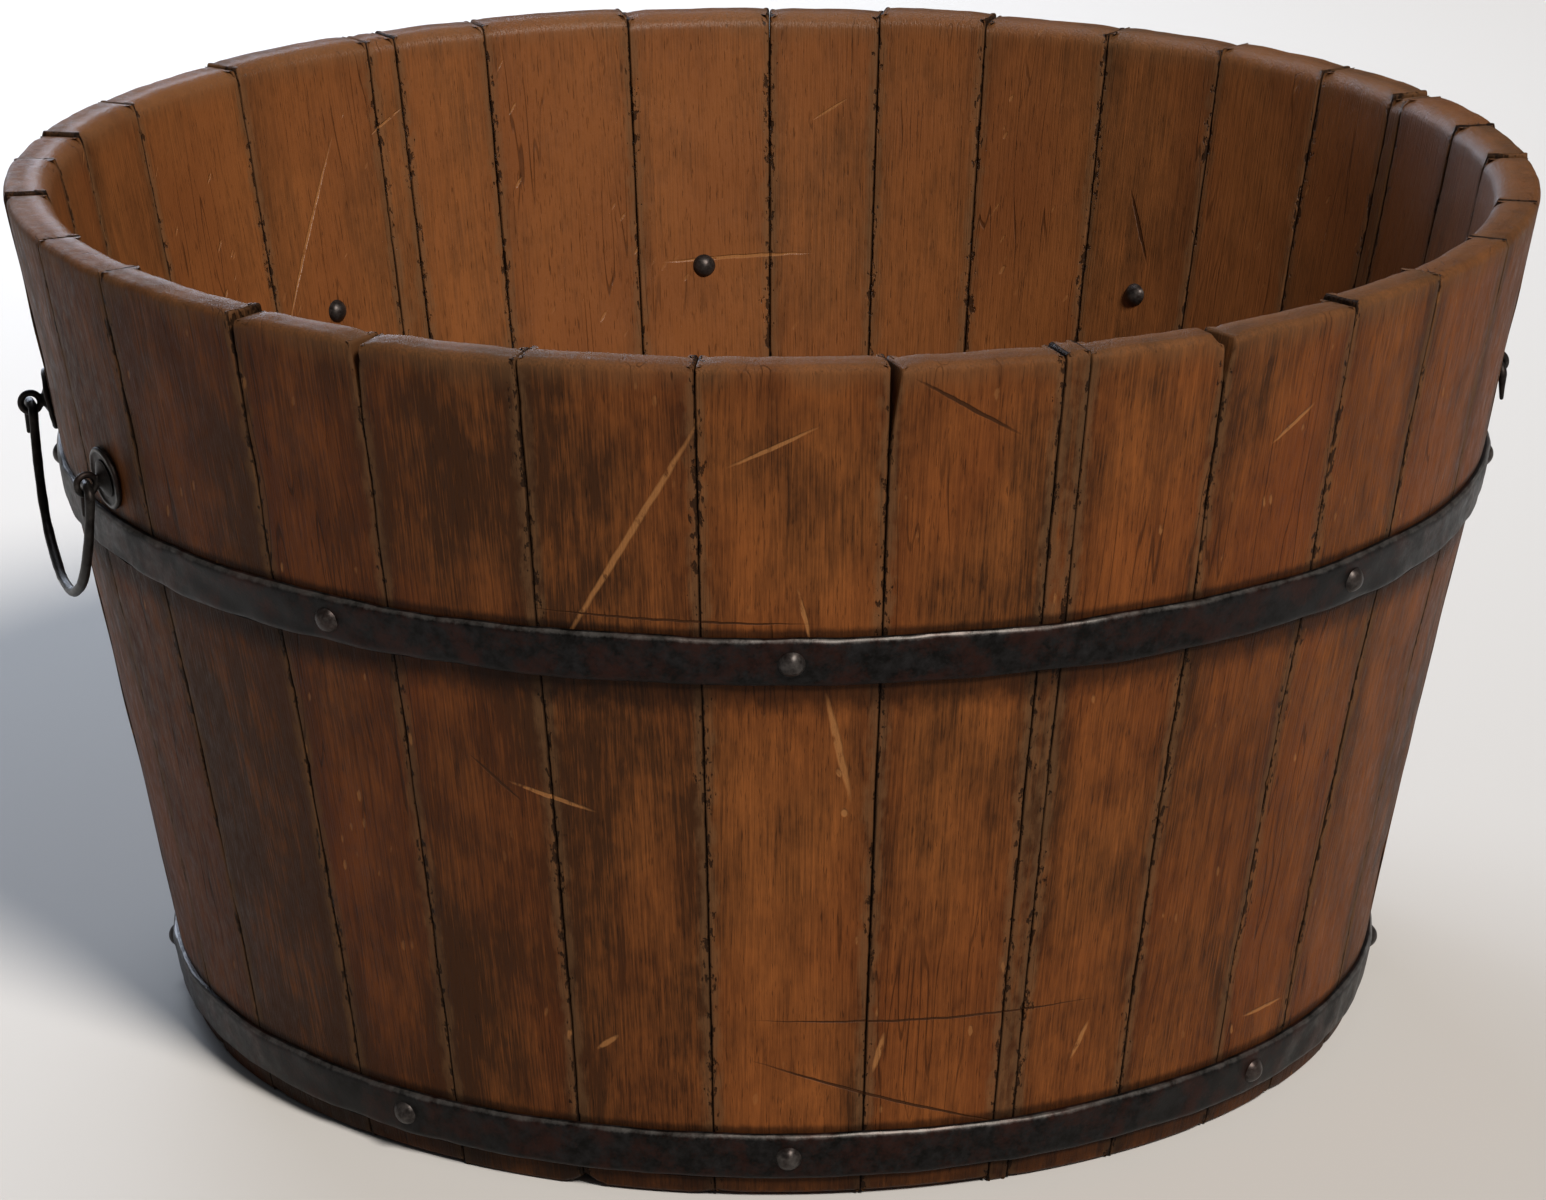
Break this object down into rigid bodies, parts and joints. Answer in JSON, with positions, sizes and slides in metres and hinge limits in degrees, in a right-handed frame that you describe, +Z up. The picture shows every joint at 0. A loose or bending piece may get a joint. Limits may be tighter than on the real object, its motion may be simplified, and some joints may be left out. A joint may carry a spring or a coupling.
{
  "type": "coopered tub",
  "caption": "Round coopered wooden tub, tapered towards its base, with riveted iron hoops and swinging drop-bail handles.",
  "frame": {"origin": "centre of the base, on the surface that the tub stands on", "axes": "+Z up the tub's axis, +X from the axis to the middle of the right bail, +Y to the tub's back"},
  "size_m": [0.7978, 0.7978, 0.449],
  "materials": {
    "stave_wood": "oiled and varnished oak, worn at the edges",
    "head_wood": "oiled oak",
    "dowel_wood": "bare turned hardwood",
    "hoop_iron": "blackened wrought iron with rust mottling and worn edges",
    "rivet_iron": "blackened iron, hammered heads rubbed smooth",
    "forged_iron": "forged, blackened and waxed iron",
    "bail_iron": "forged, blackened and waxed iron rod"
  },
  "bodies": {
    "root": {"stave_01": "stave_wood", "stave_02": "stave_wood", "stave_03": "stave_wood", "stave_04": "stave_wood", "stave_05": "stave_wood", "stave_06": "stave_wood", "stave_07": "stave_wood", "stave_08": "stave_wood", "stave_09": "stave_wood", "stave_10": "stave_wood", "stave_11": "stave_wood", "stave_12": "stave_wood", "stave_13": "stave_wood", "stave_14": "stave_wood", "stave_15": "stave_wood", "stave_16": "stave_wood", "stave_17": "stave_wood", "stave_18": "stave_wood", "stave_19": "stave_wood", "stave_20": "stave_wood", "stave_21": "stave_wood", "stave_22": "stave_wood", "stave_23": "stave_wood", "stave_24": "stave_wood", "stave_25": "stave_wood", "stave_26": "stave_wood", "stave_27": "stave_wood", "stave_28": "stave_wood", "stave_29": "stave_wood", "stave_30": "stave_wood", "stave_31": "stave_wood", "stave_32": "stave_wood", "stave_33": "stave_wood", "head_board_01": "head_wood", "head_board_02": "head_wood", "head_board_03": "head_wood", "head_board_04": "head_wood", "head_board_05": "head_wood", "head_dowels": "dowel_wood", "upper_hoop": "hoop_iron", "lower_hoop": "hoop_iron", "upper_rivets": "rivet_iron", "lower_rivets": "rivet_iron", "right_back_rosette": "forged_iron", "right_front_rosette": "forged_iron", "left_back_rosette": "forged_iron", "left_front_rosette": "forged_iron", "right_back_eye": "forged_iron", "right_front_eye": "forged_iron", "left_back_eye": "forged_iron", "left_front_eye": "forged_iron"},
    "right_bail": {"right_bail": "bail_iron"},
    "left_bail": {"left_bail": "bail_iron"}
  },
  "joints": [
    {"name": "right_bail_swing", "type": "hinge", "parent": "root", "child": "right_bail", "pos_m": [0.38155, 0, 0.32828], "axis": [0, -1, 0], "range_deg": [-10, 167]},
    {"name": "left_bail_swing", "type": "hinge", "parent": "root", "child": "left_bail", "pos_m": [-0.38155, 0, 0.32828], "axis": [0, 1, 0], "range_deg": [-10, 167]}
  ]
}
